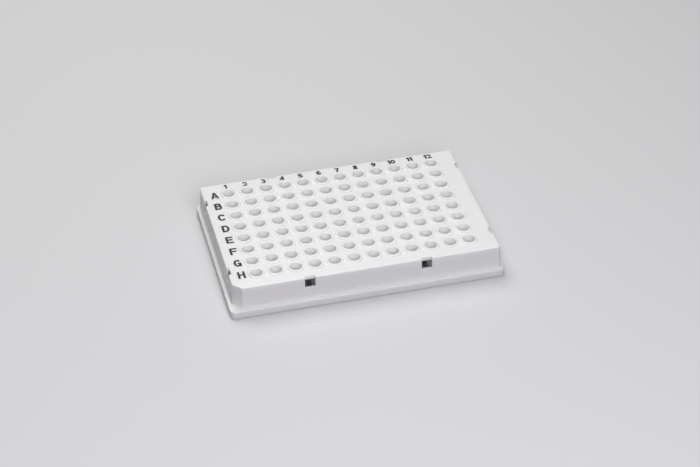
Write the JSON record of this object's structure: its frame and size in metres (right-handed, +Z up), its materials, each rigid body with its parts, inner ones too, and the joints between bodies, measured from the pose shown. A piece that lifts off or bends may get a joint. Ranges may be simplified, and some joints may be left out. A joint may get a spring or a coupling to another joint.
{
  "type": "well plate",
  "caption": "Full-skirted well plate with raised well rims, row letters and column numbers, for small reactions heated in a block.",
  "frame": {"origin": "middle of the foot, on the surface that the plate stands on", "axes": "+X along the columns from 1 to 12, +Y towards row A, +Z up out of the wells"},
  "size_m": [0.1278, 0.0854, 0.0159],
  "materials": {
    "white_plastic": "satin",
    "printed_ink": "matte"
  },
  "bodies": {
    "root": {"well_plate": "white_plastic"}
  },
  "joints": []
}
